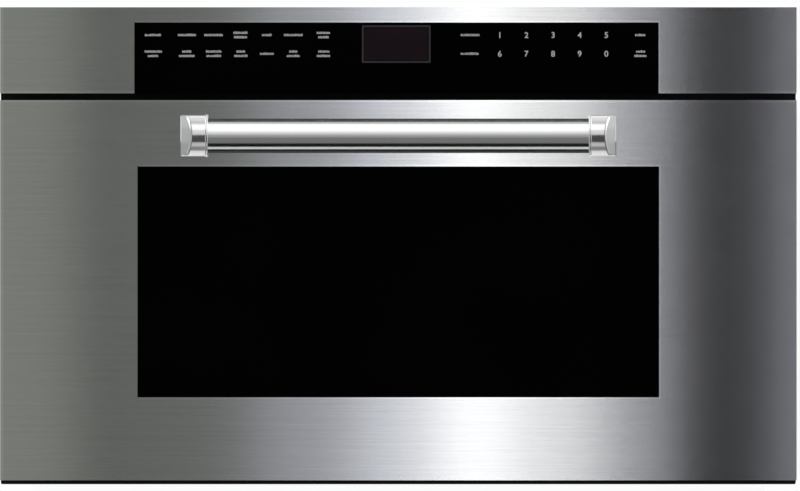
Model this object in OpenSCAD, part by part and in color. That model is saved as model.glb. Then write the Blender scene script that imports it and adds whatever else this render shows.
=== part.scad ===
// Built-in convection microwave with a drop-down door and a tubular handle.
// X points right, the door faces -Y, Z points up. All sizes are in millimetres.
// Depths are counted from the front face of the door, towards the back of the case.

/* [Overall] */
// Width of the front trim
unit_w = 759; // [690:1:830]
// Height of the front trim
unit_h = 454; // [420:1:490]
// Overhang of the trim beyond each side of the case
trim_side = 29.5; // [25:0.5:34]
// Depth of the case behind the front frame
case_depth = 518; // [480:1:560]
// Drop from the top of the trim to the top of the case
case_drop = 12; // [6:1:16]
// Height of a foot
foot_h = 8; // [5:0.5:8]
// Radius of a foot
foot_r = 12; // [9:1:15]
// Thickness of the case sheet
sheet_t = 1; // [0.8:0.1:1.2]
// Thickness of the front frame
frame_t = 1.5; // [1:0.5:3]
// Distance from the door's front face to the front frame
front_depth = 44; // [43:0.5:48]

/* [Door] */
// Height of the dark strip under the door
strip_h = 3.25; // [2:0.25:3.5]
// Height of the dark seam between the door and the control panel
seam_h = 6.5; // [4:0.5:7]
// Running gap between the closed door and the front frame
door_gap = 2; // [1.5:0.5:3]
// Thickness of the steel skins of the door and the control panel
skin_t = 1.2; // [0.8:0.1:1.5]
// Steel left on each side of the window
window_side = 131; // [129:0.5:140]
// Steel left above the window
window_drop = 63.2; // [58:0.1:72]
// Height of the window's lower edge above the door's lower edge
window_up = 79.05; // [77:0.05:84]
// Thickness of the front glass and of the control glass
glass_t = 4; // [3:0.5:5]
// Depth of the glass face behind the skin's face
glass_recess = 0.3; // [0.1:0.1:0.6]
// Clearance round a glass pane
glass_gap = 0.25; // [0.2:0.05:0.4]
// Thickness of the inner glass pane
inner_glass_t = 3; // [2.5:0.5:4]
// Thickness of the door's inner sheets
inner_t = 1.2; // [0.8:0.1:1.5]
// Width of the choke channel round the door's screen
choke_w = 28; // [24:1:30]
// Depth of the choke channel
choke_d = 10; // [8:0.5:11]
// Thickness of the choke cover
cover_t = 4; // [3:0.5:5]

/* [Handle] */
// Radius of the handle bar
bar_r = 16.5; // [13:0.5:17]
// Wall of the handle bar's tube
bar_wall = 1.5; // [1:0.25:2.5]
// Distance from the side of the door to the bar's visible end
handle_side = 198.5; // [188:0.5:215]
// Distance from the door's face to the handle's axis
handle_out = 48; // [46:1:55]
// Drop from the door's upper edge to the handle's axis
handle_drop = 34.2; // [32:0.1:37]
// Half the height of the end caps
cap_r = 19.5; // [18.5:0.5:20.5]
// Radius of the crown across the front of an end cap
cap_crown = 26; // [24:0.5:34]
// Radius of the rounded corners of an end cap
cap_corner = 8; // [6:0.5:9]
// Width of an end cap
cap_w = 26.2; // [25:0.2:30]
// Width of the raised ring on an end cap
ring_w = 2.6; // [2:0.2:3.5]
// Height of the raised ring over the end cap
ring_rise = 0.8; // [0.4:0.1:1.2]
// Slant of the cap's outer corner, sideways for each unit of depth
cap_slant = 0.5; // [0.4:0.05:0.6]
// Depth of the socket that takes the bar
socket_d = 6; // [4:0.5:8]
// Radius of a handle screw
screw_r = 2.5; // [2:0.25:3]

/* [Control panel] */
// Height of the control panel
panel_h = 82; // [78:0.5:90]
// Steel left on each side of the control glass before its shift
control_side = 129.7; // [126:0.1:136]
// Sideways shift of the control glass
control_shift = -1.7; // [-3:0.1:3]
// Steel left above the control glass
control_drop = 14.5; // [12:0.5:18]
// Width of the display
display_w = 65.5; // [60:0.5:72]
// Height of the display
display_h = 35.7; // [32:0.1:40]
// Sideways place of the display's centre
display_x = -1.95; // [-5:0.05:5]
// Drop from the top of the control glass to the display's centre
display_drop = 20.6; // [20.5:0.1:24]
// Wall of the plastic carrier behind the control panel
carrier_wall = 2.5; // [2:0.25:3.5]

/* [Cavity] */
// Room between the cooking space and each side of the case
side_room = 135; // [134:0.5:138]
// Room between the cooking space and the top of the case
top_room = 122; // [119:1:127]
// Room between the cooking space and the back of the case
back_room = 108; // [105:1:112]
// Height of the cavity floor
cav_z = 65; // [64:1:68]
// Thickness of the cavity walls
cav_t = 1; // [0.8:0.1:1.2]
// Width of the flange round the cavity's mouth
mouth_flange = 14; // [10:1:20]
// Radius of a hole in the perforated walls
perf_r = 2.4; // [1.8:0.1:2.6]
// Distance between holes in the perforated walls
perf_pitch = 8; // [7:0.5:10]

/* [Turntable] */
// Clearance between the turntable and the nearest wall
tray_gap = 5; // [3:0.5:15]
// Thickness of the glass turntable
tray_t = 5; // [4:0.5:6]
// Height of the turntable's rim
rim_h = 12; // [9:0.5:16]
// Radius of a roller
roller_r = 9; // [8:0.5:11]
// Width of a roller
roller_w = 8; // [6:0.5:10]
// Distance from the turntable's edge in to the roller ring's hoop
hoop_in = 56; // [50:1:70]
// Radius of a roller's axle
axle_r = 2; // [1.5:0.25:2.5]
// Radius of the drive coupler's stub shaft
drive_r = 3.5; // [3:0.25:4]
// Running clearance of shafts and pins in their bores
run_gap = 0.05; // [0.03:0.01:0.08]

/* [Microwave source] */
// Width of the waveguide along the cavity wall
guide_d = 90; // [85:1:95]
// Height of the waveguide
guide_h = 80; // [70:1:90]
// Depth of the waveguide away from the cavity wall
guide_w = 40; // [36:1:44]
// Side of the magnetron's square yoke
mag_s = 80; // [70:1:84]
// Width of the transformer's core
core_w = 86; // [80:1:90]
// Radius of the capacitor's round ends
can_r = 17; // [14:1:19]
// Height of the capacitor
can_h = 90; // [80:1:100]

/* [Convection] */
// Side of the fan housing behind the cavity
fan_box = 196; // [190:1:204]
// Depth of the fan housing
fan_box_d = 40; // [38:1:42]
// Radius of the convection fan
fan_r = 62; // [50:1:66]
// Number of blades on each fan
blades = 12; // [8:1:16]
// Radius of the fan shaft
fan_shaft_r = 4; // [3:0.5:5]
// Radius of the heating ring's centre line
heater_r = 80; // [76:1:84]
// Radius of the heating element's tube
heater_tube_r = 3.5; // [3:0.25:4]
// Radius of the convection motor
fan_motor_r = 32; // [28:1:36]
// Length of the convection motor
fan_motor_len = 34; // [30:1:38]
// Gap between the fan housing and its motor
motor_stand = 14; // [12:1:16]

/* [Cooling blower] */
// Radius of the blower wheel
blower_r = 38; // [34:1:42]
// Width of the blower wheel
blower_w = 44; // [38:1:48]
// Radius of the blower motor
blower_motor_r = 26; // [22:1:30]
// Length of the blower motor
blower_motor_len = 36; // [30:1:40]

/* [Hinges and latches] */
// Distance from the side of the case to a hinge
hinge_in = 20; // [18:0.5:28]
// Height of the door's pivot above the door's lower edge
pivot_up = 8.75; // [8:0.25:9.25]
// Distance of the door's pivot in front of the front frame
pivot_in = 10; // [9.75:0.25:11]
// Radius of a hinge pin
pin_r = 3; // [2.5:0.25:3.5]
// Thickness of a hinge plate
plate_t = 4; // [3:0.5:5]
// Half the inner width of a hinge channel
channel_half = 10; // [9:0.5:11]
// Length of a hinge channel
channel_len = 228; // [200:1:240]
// Radius of the coils of a hinge spring
coil_r = 7; // [6:0.25:7.5]
// Radius of the wire of a hinge spring
wire_r = 1.25; // [1:0.05:1.5]
// Number of coils of a hinge spring
coils = 48; // [30:1:56]
// Distance from the side of the case to a latch prong
prong_in = 60; // [54:1:64]
// Drop from the door's upper edge to a latch prong's centre
prong_drop = 23; // [22:0.5:26]
// Height of a latch prong
prong_h = 13; // [10:0.5:14]
// Width of a latch prong
prong_w = 16; // [14:0.5:17]
// Length of a latch prong behind the door
prong_len = 26; // [24:0.5:30]
// Travel of a switch plunger
plunger_travel = 1.2; // [0.8:0.1:1.6]

/* [Mounting] */
// Distance from the side of the frame to the mounting holes
mount_edge = 8.5; // [7:0.5:15]
// Distance between the mounting holes up the frame
mount_h = 290; // [240:1:300]
// Height of the lower mounting holes
mount_z = 50; // [40:1:60]
// Radius of a mounting hole
mount_r = 2.4; // [2:0.1:3]
// Radius of the bore in the cord bush
cord_r = 4.5; // [4:0.25:5.5]
// Distance that the cord bush stands out at the back
bush_out = 6; // [4:0.5:8]

/* [Hidden] */
$fn = 48;

// Colours of the real surfaces
steel = [0.72, 0.73, 0.72];
dark_steel = [0.12, 0.12, 0.13];
zinc = [0.62, 0.64, 0.64];
black = [0.03, 0.03, 0.03];
chrome = [0.82, 0.82, 0.84];
glass = [0.7, 0.8, 0.8, 0.5];
board_green = [0.1, 0.35, 0.2];
copper = [0.7, 0.4, 0.2];
pale = [0.85, 0.85, 0.8];

// Small clearances
fit_gap = 0.3;
hole_gap = 0.1;
slack = 0.01;

// Depths, front to back
handle_reach = handle_out + cap_r + ring_rise;
frame_back = front_depth + frame_t;
case_end = frame_back + case_depth;
front_y = -(handle_reach + case_end + bush_out) / 2 + handle_reach;
door_back = front_depth - door_gap;
glass_back = glass_recess + glass_t;
cav_back = case_end - back_room;

// Heights
door_z = strip_h;
panel_z = unit_h - panel_h;
door_top = panel_z - seam_h;
case_top = unit_h - case_drop;
base_top = foot_h + sheet_t;
cav_top = case_top - top_room;
cav_mid = (cav_z + cav_top) / 2;
floor_under = cav_z - cav_t;
window_z = door_z + window_up;
window_top = door_top - window_drop;
handle_z = door_top - handle_drop;

// Half widths
trim_half = unit_w / 2;
case_half = trim_half - trim_side;
case_in = case_half - sheet_t;
cav_half = case_half - side_room;
cav_out = cav_half + cav_t;
window_half = trim_half - window_side;
control_half = trim_half - control_side;
mount_x = trim_half - mount_edge;
hinge_x = case_half - hinge_in;
prong_x = case_half - prong_in;

// Box from its limits along X, depth and Z
module slab(x, d, z)
    translate([x[0], front_y + d[0], z[0]]) cube([x[1] - x[0], d[1] - d[0], z[1] - z[0]]);

// Round bars along the three axes
module rod_x(x, d, z, r)
    translate([x[0], front_y + d, z]) rotate([0, 90, 0]) cylinder(r = r, h = x[1] - x[0]);
module rod_y(x, d, z, r)
    translate([x, front_y + d[0], z]) rotate([-90, 0, 0]) cylinder(r = r, h = d[1] - d[0]);
module rod_z(x, d, z, r)
    translate([x, front_y + d, z[0]]) cylinder(r = r, h = z[1] - z[0]);

// Outline in depth and height, drawn out along X
module side_cut(x)
    translate([x[0], front_y, 0]) rotate([90, 0, 90]) linear_extrude(x[1] - x[0]) children();

module both_sides() {
    children();
    mirror([1, 0, 0]) children();
}

// Frame front and case

pivot_z = door_z + pivot_up;
pivot_d = front_depth - pivot_in;
hinge_arm_low = pivot_z - 3;
eye_r = pin_r + 3.5;
slot_side = plate_t / 2 + 1.5;
prong_z = door_top - prong_drop;
prong_rise = 4;
wire_slot = [prong_x - 140, prong_x - 60];

module mount_holes()
    for (x = [-1, 1] * mount_x, z = [mount_z, mount_z + mount_h])
        rod_y(x, [front_depth - 1, frame_back + 1], z, mount_r);

module front_frame()
    color(dark_steel) difference() {
        slab([-trim_half, trim_half], [front_depth, frame_back], [0, unit_h - skin_t]);
        slab([-cav_half, cav_half], [front_depth - 1, frame_back + 1], [cav_z, cav_top]);
        both_sides() {
            slab([hinge_x - slot_side, hinge_x + slot_side], [front_depth - 1, frame_back + 1],
                [hinge_arm_low - 1, pivot_z + eye_r + 1]);
            slab([prong_x - prong_w / 2 - 2, prong_x + prong_w / 2 + 2],
                [front_depth - 1, frame_back + 1],
                [prong_z - prong_h / 2 - 2, prong_z + prong_h / 2 + prong_rise]);
        }
        slab(wire_slot, [front_depth - 1, frame_back + 1], [panel_z + 14, case_top - 14]);
        mount_holes();
    }

edge_up = 18;
screw_head_r = 4;
screw_head_t = 2;
screw_len = 8;
case_screw_r = 1.9;
screw_inset = 9;
screw_low = 110;
screw_drop = 40;
screw_row = case_half - 130;

// Places of the screws round the back of the case, as X and Z
case_screw_at = concat(
    [for (s = [-1, 1], z = [base_top + screw_low, case_top - screw_drop])
        [s * (case_in - screw_inset), z]],
    [for (x = [-1, 0, 1] * screw_row) [x, base_top + screw_inset]],
    [for (x = [-1, 0, 1] * screw_row) [x, case_top - sheet_t - screw_inset]]);

module case_screw_holes()
    for (p = case_screw_at)
        rod_y(p[0], [case_end - 3 * sheet_t, case_end + 1], p[1], case_screw_r + hole_gap);

module case_base()
    color(zinc) difference() {
        union() {
            slab([-case_in, case_in], [frame_back, case_end - sheet_t], [foot_h, base_top]);
            both_sides() slab([case_in - sheet_t, case_in], [frame_back, case_end - sheet_t],
                [foot_h, base_top + edge_up]);
            slab([-case_in, case_in], [case_end - 2 * sheet_t, case_end - sheet_t],
                [foot_h, base_top + edge_up]);
        }
        case_screw_holes();
        for (x = [-1, 1] * foot_x, d = foot_d)
            rod_z(x, d, [foot_h - 1, base_top + 1], foot_stud_r + hole_gap);
        for (n = [0 : 9])
            slab([-150 + n * 32, -132 + n * 32], [case_end - 120, case_end - 60],
                [foot_h - 1, base_top + 1]);
    }

vent_w = 3.2;
vent_pitch = 9;
vents = 14;

module case_cover()
    color(zinc) difference() {
        union() {
            slab([-case_half, case_half], [frame_back, case_end - sheet_t],
                [case_top - sheet_t, case_top]);
            both_sides() {
                slab([case_in, case_half], [frame_back, case_end - sheet_t],
                    [foot_h, case_top]);
                slab([case_in - 2 * screw_inset, case_in],
                    [case_end - 2 * sheet_t, case_end - sheet_t],
                    [base_top + edge_up + 1, case_top]);
            }
            slab([-case_in, case_in], [case_end - 2 * sheet_t, case_end - sheet_t],
                [case_top - sheet_t - 2 * screw_inset, case_top]);
        }
        case_screw_holes();
        both_sides() for (n = [0 : vents - 1])
            slab([case_in - 1, case_half + 1],
                [case_end - 200 + n * vent_pitch, case_end - 200 + n * vent_pitch + vent_w],
                [case_top - 90, case_top - 35]);
        for (n = [0 : vents - 1])
            slab([110, 190], [case_end - 180 + n * vent_pitch,
                case_end - 180 + n * vent_pitch + vent_w], [case_top - 2, case_top + 1]);
    }

bush_in = 120;
bush_x = bush_in - case_half;
bush_r = cord_r + 4;
bush_z = case_top - 60;
rear_vents = 18;

module rear_cover()
    color(zinc) difference() {
        slab([-case_half, case_half], [case_end - sheet_t, case_end], [foot_h, case_top]);
        case_screw_holes();
        rod_y(bush_x, [case_end - 2 * sheet_t, case_end + 1], bush_z, bush_r);
        for (n = [0 : rear_vents - 1], z = [blower_z - 40, blower_z + 6])
            slab([blower_x[0] - 78 + n * 8, blower_x[0] - 78 + n * 8 + vent_w],
                [case_end - 2, case_end + 1], [z, z + 34]);
        for (n = [0 : rear_vents - 1])
            slab([-90 + n * 10, -90 + n * 10 + vent_w + 1], [case_end - 2, case_end + 1],
                [cav_mid - 60, cav_mid + 60]);
    }

foot_x = case_half - 60;
foot_d = [frame_back + 50, case_end - 60];
foot_stud_r = 3;

module feet()
    color(black) for (x = [-1, 1] * foot_x, d = foot_d) {
        rod_z(x, d, [0, foot_h], foot_r);
        rod_z(x, d, [foot_h - slack, base_top + 2], foot_stud_r);
    }

module case_screws()
    color(zinc) for (p = case_screw_at) {
        rod_y(p[0], [case_end, case_end + screw_head_t], p[1], screw_head_r);
        rod_y(p[0], [case_end - screw_len, case_end + slack], p[1], case_screw_r);
    }

// Cooking space

fan_holes = floor((fan_r - 14) / perf_pitch);
lamp_d = frame_back + 110;
lamp_z = cav_top - 45;
guide_front = frame_back + 130;
guide_low = cav_mid - guide_h / 2 + 5;
aperture_in = 12;
shaft_hole_r = 11;
exhaust_d = cav_back - 90;

module cavity()
    color(pale) difference() {
        union() {
            slab([-cav_out, cav_out], [frame_back, cav_back + cav_t],
                [floor_under, cav_top + cav_t]);
            slab([-cav_half - mouth_flange, cav_half + mouth_flange],
                [frame_back, frame_back + cav_t],
                [cav_z - mouth_flange, cav_top + mouth_flange]);
        }
        slab([-cav_half, cav_half], [frame_back - 1, cav_back], [cav_z, cav_top]);
        for (i = [-fan_holes : fan_holes], j = [-fan_holes : fan_holes])
            if (norm([i, j]) <= fan_holes)
                rod_y(i * perf_pitch, [cav_back - 1, cav_back + cav_t + 1],
                    cav_mid + j * perf_pitch, perf_r);
        for (i = [0 : 9], s = [-1, 1])
            slab([s * (fan_box / 2 - 12) - 3, s * (fan_box / 2 - 12) + 3],
                [cav_back - 1, cav_back + cav_t + 1],
                [cav_mid - 77 + i * 16, cav_mid - 67 + i * 16]);
        for (i = [-2 : 2], j = [-2 : 2]) {
            rod_x([-cav_out - 1, -cav_half + 1], lamp_d + i * perf_pitch,
                lamp_z + j * perf_pitch, perf_r);
            rod_x([cav_half - 1, cav_out + 1], exhaust_d + i * perf_pitch,
                lamp_z + j * perf_pitch, perf_r);
        }
        slab([cav_half - 1, cav_out + 1],
            [guide_front + aperture_in, guide_front + guide_d - aperture_in],
            [guide_low + aperture_in, guide_low + guide_h - aperture_in]);
        rod_z(0, table_d, [floor_under - 1, cav_z + 1], shaft_hole_r);
    }

blanket_t = 12;

module insulation()
    color(pale) slab([-cav_half + 10, cav_half - 10], [frame_back + 30, cav_back],
        [cav_top + cav_t, cav_top + cav_t + blanket_t]);

module waveguide()
    color(zinc) difference() {
        slab([cav_out, cav_out + guide_w], [guide_front, guide_front + guide_d],
            [guide_low, guide_low + guide_h]);
        slab([cav_out - 1, cav_out + guide_w - cav_t],
            [guide_front + cav_t, guide_front + guide_d - cav_t],
            [guide_low + cav_t, guide_low + guide_h - cav_t]);
        rod_x([cav_out + guide_w - 2, cav_out + guide_w + 1], guide_front + guide_d / 2,
            guide_low + guide_h / 2, antenna_r + 1);
    }

mica_t = 0.8;

module waveguide_cover()
    color(pale) slab([cav_half - mica_t, cav_half], [guide_front, guide_front + guide_d],
        [guide_low, guide_low + guide_h]);

antenna_r = 8;
fins = 9;

module magnetron() {
    x0 = cav_out + guide_w;
    d0 = guide_front + guide_d / 2;
    z0 = guide_low + guide_h / 2;
    color(zinc) {
        difference() {
            slab([x0, x0 + mag_s], [d0 - mag_s / 2, d0 + mag_s / 2],
                [z0 - mag_s / 2, z0 + mag_s / 2]);
            slab([x0 + 3, x0 + mag_s - 3], [d0 - mag_s / 2 - 1, d0 + mag_s / 2 + 1],
                [z0 - mag_s / 2 + 3, z0 + mag_s / 2 - 3]);
        }
        for (n = [1 : fins])
            slab([x0 + n * mag_s / (fins + 1) - 0.5, x0 + n * mag_s / (fins + 1) + 0.5],
                [d0 - mag_s / 2 + 4, d0 + mag_s / 2 - 4],
                [z0 - mag_s / 2 + 3 - slack, z0 + mag_s / 2 - 3 + slack]);
        rod_x([x0 - 22, x0 + mag_s - 3 + slack], d0, z0, antenna_r);
        rod_x([x0 + 3 - slack, x0 + mag_s - 3 + slack], d0, z0, 18);
    }
}

core_d = 70;
core_h = 62;
core_in = 15;
core_back = 190;
yoke_t = 10;
winding_t = 12;

module hv_transformer() {
    x1 = case_in - core_in;
    x0 = x1 - core_w;
    d0 = case_end - core_back;
    color(dark_steel) difference() {
        slab([x0, x1], [d0, d0 + core_d], [base_top, base_top + core_h]);
        for (s = [0, 1])
            slab([x0 + core_w / 6 + s * core_w / 2, x0 + core_w / 3 + s * core_w / 2],
                [d0 - 1, d0 + core_d + 1], [base_top + yoke_t, base_top + core_h - yoke_t]);
    }
    color(copper) difference() {
        slab([x0 + core_w / 6 + slack, x1 - core_w / 6 - slack],
            [d0 - winding_t, d0 + core_d + winding_t],
            [base_top + yoke_t + slack, base_top + core_h - yoke_t - slack]);
        slab([x0 + core_w / 3, x1 - core_w / 3], [d0 - slack, d0 + core_d + slack],
            [base_top, base_top + core_h]);
    }
}

can_in = 61;
can_at = 190;
can_flat = 30;
tab_w = 6;
tab_t = 1;
tab_h = 9;
strap_w = 14;
strap_t = 1.5;
strap_end = 12;

module hv_capacitor() {
    x0 = case_in - can_in;
    d0 = frame_back + can_at;
    color(zinc) {
        for (x = [x0, x0 + can_flat]) {
            rod_z(x, d0, [base_top, base_top + can_h], can_r);
            slab([x - tab_w / 2, x + tab_w / 2], [d0 - tab_t / 2, d0 + tab_t / 2],
                [base_top + can_h - slack, base_top + can_h + tab_h]);
        }
        slab([x0, x0 + can_flat], [d0 - can_r, d0 + can_r], [base_top, base_top + can_h]);
        slab([x0 - can_r - strap_end, x0 + can_flat + can_r + strap_end / 2],
            [d0 - strap_w / 2, d0 + strap_w / 2], [base_top, base_top + strap_t]);
    }
}

// Blower that cools the magnetron, at the back on the right
blower_shell = 2;
blower_z = cav_mid - 20;
blower_x = [case_in - 70 - blower_w, case_in - 70];
scroll_r = blower_r + 7;
blower_d = case_end - sheet_t - scroll_r - blower_shell - 3;

module blower_housing()
    color(black) difference() {
        union() {
            rod_x([blower_x[0] - 2 - blower_shell, blower_x[1] + 2 + blower_shell], blower_d,
                blower_z, scroll_r + blower_shell);
            slab([blower_x[0] - 2 - blower_shell, blower_x[1] + 2 + blower_shell],
                [blower_d, case_end - sheet_t],
                [blower_z - 30, blower_z + 30]);
            slab([blower_x[0] - 2 - blower_shell, blower_x[1] + 2 + blower_shell],
                [blower_d - scroll_r - 20, blower_d],
                [blower_z + 6, blower_z + scroll_r + blower_shell]);
        }
        rod_x([blower_x[0] - 2, blower_x[1] + 2], blower_d, blower_z, scroll_r);
        slab([blower_x[0] - 2, blower_x[1] + 2], [blower_d - scroll_r - 21, blower_d],
            [blower_z + 6 + blower_shell, blower_z + scroll_r]);
        rod_x([blower_x[0] - 3 - blower_shell, blower_x[0]], blower_d, blower_z,
            blower_r - 8);
        rod_x([blower_x[1], blower_x[1] + 3 + blower_shell], blower_d, blower_z,
            blower_shaft_r + 2);
    }

blower_shaft_r = 2.5;

module blower_motor()
    color(zinc) difference() {
        union() {
            rod_x([blower_x[1] + 2 + blower_shell, blower_x[1] + 2 + blower_shell
                + blower_motor_len], blower_d, blower_z, blower_motor_r);
            slab([blower_x[1] + 2 + blower_shell, blower_x[1] + 4 + blower_shell],
                [blower_d - blower_motor_r - 8, blower_d + blower_motor_r + 8],
                [blower_z - 8, blower_z + 8]);
        }
        rod_x([blower_x[1], blower_x[1] + 2 + blower_shell + blower_motor_len - 6],
            blower_d, blower_z, blower_shaft_r + run_gap);
    }

module blower_wheel()
    color(black) {
        difference() {
            rod_x([blower_x[1] - 2, blower_x[1]], blower_d, blower_z, blower_r);
            rod_x([blower_x[1] - 3, blower_x[1] - 1.5], blower_d, blower_z, blower_r - 12);
        }
        difference() {
            rod_x([blower_x[0], blower_x[0] + 2], blower_d, blower_z, blower_r);
            rod_x([blower_x[0] - 1, blower_x[0] + 3], blower_d, blower_z, blower_r - 9);
        }
        for (n = [0 : blades - 1])
            translate([0, front_y + blower_d, blower_z]) rotate([n * 360 / blades, 0, 0])
                translate([blower_x[0] + 2 - slack, blower_r - 9, -1])
                    cube([blower_w - 4 + 2 * slack, 8, 2]);
        rod_x([blower_x[1] - 12, blower_x[1] + blower_motor_len - 8], blower_d, blower_z,
            blower_shaft_r);
        rod_x([blower_x[1] - 12, blower_x[1]], blower_d, blower_z, blower_shaft_r + 3);
    }

lamp_box = 46;
lamp_deep = 42;
bulb_r = 11;

module lamp_housing()
    color(zinc) difference() {
        slab([-cav_out - lamp_deep, -cav_out], [lamp_d - lamp_box / 2, lamp_d + lamp_box / 2],
            [lamp_z - lamp_box / 2, lamp_z + lamp_box / 2]);
        slab([-cav_out - lamp_deep + cav_t, -cav_out + 1],
            [lamp_d - lamp_box / 2 + cav_t, lamp_d + lamp_box / 2 - cav_t],
            [lamp_z - lamp_box / 2 + cav_t, lamp_z + lamp_box / 2 - cav_t]);
        rod_x([-cav_out - lamp_deep - 1, -cav_out - lamp_deep + 2], lamp_d, lamp_z,
            bulb_neck_r + hole_gap);
    }

bulb_neck_r = 7;

module lamp_bulb()
    color(glass) {
        translate([-cav_out - bulb_r - 5, front_y + lamp_d, lamp_z]) sphere(r = bulb_r);
        rod_x([-cav_out - lamp_deep - 8, -cav_out - bulb_r - 8], lamp_d, lamp_z, bulb_neck_r);
    }

// Convection fan behind the cavity

fan_back = cav_back + cav_t + fan_box_d;
fan_d = cav_back + cav_t + fan_box_d / 2;
motor_front = fan_back + motor_stand;
leg_x = 11;
leg_r = heater_tube_r + 0.5;
leg_hole_r = leg_r + 1;
leg_z = cav_mid - sqrt(heater_r * heater_r - leg_x * leg_x);

module convection_housing()
    color(zinc) difference() {
        union() {
            slab([-fan_box / 2, fan_box / 2], [cav_back + cav_t, fan_back],
                [cav_mid - fan_box / 2, cav_mid + fan_box / 2]);
            slab([-fan_box / 2 - 10, fan_box / 2 + 10], [cav_back + cav_t, cav_back + 2 * cav_t],
                [cav_mid - fan_box / 2 - 10, cav_mid + fan_box / 2 + 10]);
        }
        slab([-fan_box / 2 + cav_t, fan_box / 2 - cav_t], [cav_back, fan_back - cav_t],
            [cav_mid - fan_box / 2 + cav_t, cav_mid + fan_box / 2 - cav_t]);
        rod_y(0, [fan_back - 2, fan_back + 1], cav_mid, fan_shaft_r + 2);
        for (s = [-1, 1])
            rod_y(s * leg_x, [fan_back - 2, fan_back + 1], leg_z, leg_hole_r);
    }

module heater_element()
    color(dark_steel) {
        difference() {
            translate([0, front_y + fan_d, cav_mid]) rotate([90, 0, 0])
                rotate_extrude() translate([heater_r, 0]) circle(r = heater_tube_r);
            slab([-leg_x, leg_x], [fan_d - heater_tube_r - 1, fan_d + heater_tube_r + 1],
                [cav_mid - heater_r - heater_tube_r - 1, cav_mid]);
        }
        for (s = [-1, 1])
            rod_y(s * leg_x, [fan_d - leg_r, fan_back + 12], leg_z, leg_r);
        slab([-leg_x - 9, leg_x + 9], [fan_back, fan_back + 1.5], [leg_z - 7, leg_z + 7]);
    }

module convection_motor()
    color(zinc) difference() {
        union() {
            rod_y(0, [motor_front, motor_front + fan_motor_len], cav_mid, fan_motor_r);
            for (a = [30 : 120 : 270])
                rod_y((fan_motor_r - 6) * cos(a), [fan_back, motor_front + slack],
                    cav_mid + (fan_motor_r - 6) * sin(a), 3);
        }
        rod_y(0, [motor_front - 1, motor_front + fan_motor_len - 6], cav_mid,
            fan_shaft_r + run_gap);
    }

disc_at = 8;
disc_t = 1;
hub_wall = 5;
hub_front = 6;
blade_len = 25;
blade_w = 17;
blade_t = 1.2;

module convection_fan()
    color(steel) difference() {
        union() {
            rod_y(0, [fan_d + disc_at, fan_d + disc_at + disc_t], cav_mid, fan_r);
            rod_y(0, [fan_d - hub_front, fan_d + disc_at + disc_t], cav_mid,
                fan_shaft_r + hub_wall);
            for (n = [0 : blades - 1])
                translate([0, front_y + fan_d, cav_mid]) rotate([0, n * 360 / blades, 0])
                    translate([fan_r - blade_len - 1, disc_at - blade_w, -blade_t / 2])
                        cube([blade_len, blade_w + slack, blade_t]);
        }
        rod_y(0, [fan_d - hub_front - 1, fan_d + disc_at + disc_t + 1], cav_mid,
            fan_shaft_r + 0.02);
    }

module fan_shaft()
    color(steel) rod_y(0, [fan_d - hub_front, motor_front + fan_motor_len - 8], cav_mid,
        fan_shaft_r);

// Turntable, its rollers and its drive

roll_gap = 0.15;
table_d = (frame_back + cav_back) / 2;
tray_r = min(cav_half, table_d - frame_back) - tray_gap;
hoop_r = tray_r - hoop_in;
axle_z = cav_z + roll_gap + roller_r;
tray_z = axle_z + roller_r + roll_gap;
hub_r = 10;
spider_r = 24;
motor_h = 20;
motor_r = 24.5;
motor_ear = 36;
motor_ear_w = 12;
motor_ear_t = 1.5;
stub_len = 12;

// Places its children at the middle of the turntable
module at_table() translate([0, front_y + table_d, 0]) children();

module turntable_motor()
    color(zinc) difference() {
        union() {
            rod_z(0, table_d, [floor_under - motor_h, floor_under], motor_r);
            slab([-motor_ear, motor_ear], [table_d - motor_ear_w / 2, table_d + motor_ear_w / 2],
                [floor_under - motor_ear_t, floor_under]);
        }
        rod_z(0, table_d, [floor_under - stub_len - 2, floor_under + 1], drive_r + run_gap);
    }

module drive_coupler()
    color(pale) {
        rod_z(0, table_d, [floor_under - stub_len, cav_z + 3], drive_r);
        rod_z(0, table_d, [cav_z + 2, tray_z], hub_r);
        at_table() for (n = [0 : 2]) rotate([0, 0, n * 120 + 60])
            translate([0, -4.5, tray_z - 6]) cube([spider_r, 9, 6]);
    }

module turntable()
    color(glass) at_table() {
        rotate_extrude() polygon([[0, tray_z], [tray_r - 26, tray_z], [tray_r - 4, tray_z + rim_h - 4],
            [tray_r, tray_z + rim_h - 2], [tray_r, tray_z + rim_h],
            [tray_r - 6, tray_z + rim_h - 1], [tray_r - 28, tray_z + tray_t], [0, tray_z + tray_t]]);
        for (n = [0 : 2]) rotate([0, 0, n * 120])
            translate([hub_r + 3, -4, tray_z - 5]) cube([10, 8, 5 + slack]);
    }

collar_end = hoop_r + 2;
cap_start = collar_end + roller_w + 1;

module roller_ring()
    color(pale) at_table() {
        difference() {
            translate([0, 0, axle_z - 3]) cylinder(r = hoop_r, h = 6);
            translate([0, 0, axle_z - 4]) cylinder(r = hoop_r - 8, h = 8);
        }
        difference() {
            union() {
                translate([0, 0, axle_z - 2]) cylinder(r = hub_r + 8, h = 4);
                for (n = [0 : 2]) rotate([0, 0, n * 120 + 60])
                    translate([hub_r + 6, -4, axle_z - 2]) cube([hoop_r - hub_r - 10, 8, 4]);
            }
            translate([0, 0, axle_z - 3]) cylinder(r = hub_r + 3, h = 6);
        }
        for (n = [0 : 2]) rotate([0, 0, n * 120]) translate([0, 0, axle_z]) rotate([0, 90, 0]) {
            translate([0, 0, hoop_r - 2]) cylinder(r = axle_r, h = cap_start - hoop_r + 3);
            translate([0, 0, hoop_r - 2]) cylinder(r = axle_r + 1.2, h = 4);
            translate([0, 0, cap_start]) cylinder(r = axle_r + 1.2, h = 1.5);
        }
    }

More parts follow.
